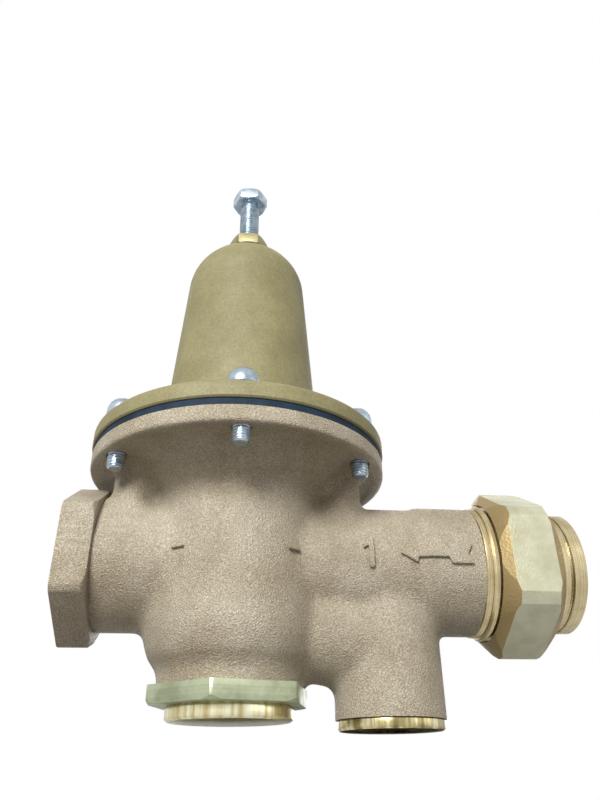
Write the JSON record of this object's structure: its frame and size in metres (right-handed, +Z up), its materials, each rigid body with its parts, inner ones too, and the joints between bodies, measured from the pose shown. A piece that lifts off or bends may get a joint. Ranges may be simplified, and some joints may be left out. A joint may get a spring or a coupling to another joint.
{
  "type": "pressure reducing valve",
  "caption": "Diaphragm pressure regulator with a painted spring bonnet, an adjusting screw, a cast bronze body, an integral strainer and a union inlet.",
  "frame": {"origin": "centre of the outlet port's mouth, on the pipe axis", "axes": "+X along the pipe from the outlet to the inlet, +Z up the valve's vertical axis to the adjusting screw, -Y towards the side with the flow arrow"},
  "size_m": [0.1632, 0.1008, 0.2149],
  "materials": {
    "cast_bronze": "rough sand-cast bronze, machined at the ports and the spigot",
    "turned_brass": "bright turned",
    "tarnished_brass": "dull, slightly tarnished",
    "satin_brass": "satin, pale",
    "olive_paint": "satin olive-gold paint on cast iron",
    "zinc_steel": "bluish zinc plate",
    "spring_steel": "oiled spring wire",
    "stainless_mesh": "woven stainless mesh",
    "black_rubber": "matt black",
    "diaphragm_rubber": "matt blue-black with woven backing",
    "fibre": "pressed fibre"
  },
  "bodies": {
    "valve": {"valve_body": "cast_bronze", "seat_ring": "turned_brass", "seat_gasket": "fibre", "bottom_plug": "tarnished_brass", "bottom_plug_o_ring": "black_rubber", "strainer_plug": "turned_brass", "strainer_plug_o_ring": "black_rubber", "strainer_screen": "stainless_mesh", "diaphragm": "diaphragm_rubber", "diaphragm_slip_ring": "diaphragm_rubber", "bonnet": "olive_paint", "bonnet_screws": "zinc_steel", "range_spring": "spring_steel", "sealing_washer": "black_rubber"},
    "trim": {"stem": "turned_brass", "disc_holder": "turned_brass", "valve_disc": "black_rubber", "disc_nut": "turned_brass", "diaphragm_support": "turned_brass", "pressure_plate": "zinc_steel", "stem_nut": "turned_brass"},
    "button": {"spring_button": "zinc_steel"},
    "adjuster": {"adjusting_screw": "zinc_steel"},
    "lock": {"lock_nut": "tarnished_brass"},
    "tail": {"union_tailpiece": "turned_brass", "union_gasket": "fibre"},
    "nut": {"union_nut": "satin_brass"}
  },
  "joints": [
    {"name": "trim_lift", "type": "slide", "parent": "valve", "child": "trim", "axis": [0, 0, 1], "range_m": [-0.0025, 0.0019], "stiffness_N_per_m": 2000, "deforming": ["diaphragm", "range_spring"]},
    {"name": "button_travel", "type": "slide", "parent": "valve", "child": "button", "axis": [0, 0, 1], "range_m": [-0.015, 0.003], "deforming": ["range_spring"]},
    {"name": "adjusting_screw_turn", "type": "hinge", "parent": "button", "child": "adjuster", "pos_m": [0.0527, 0, 0], "axis": [0, 0, 1], "range_deg": [-4321, 865]},
    {"name": "lock_nut_turn", "type": "hinge", "parent": "valve", "child": "lock", "pos_m": [0.0527, 0, 0], "axis": [0, 0, 1], "range_deg": [0, 180]},
    {"name": "tailpiece_travel", "type": "slide", "parent": "valve", "child": "tail", "axis": [1, 0, 0], "range_m": [-0.00001, 0.00925]},
    {"name": "union_nut_turn", "type": "hinge", "parent": "tail", "child": "nut", "pos_m": [0.1632, 0, 0], "axis": [1, 0, 0], "range_deg": [0, 1440]}
  ],
  "couplings": [
    {"joint": "adjusting_screw_turn", "follows": "button_travel", "rad_per_m": 5026.5},
    {"joint": "tailpiece_travel", "follows": "union_nut_turn", "m_per_rad": 0.00036749}
  ]
}
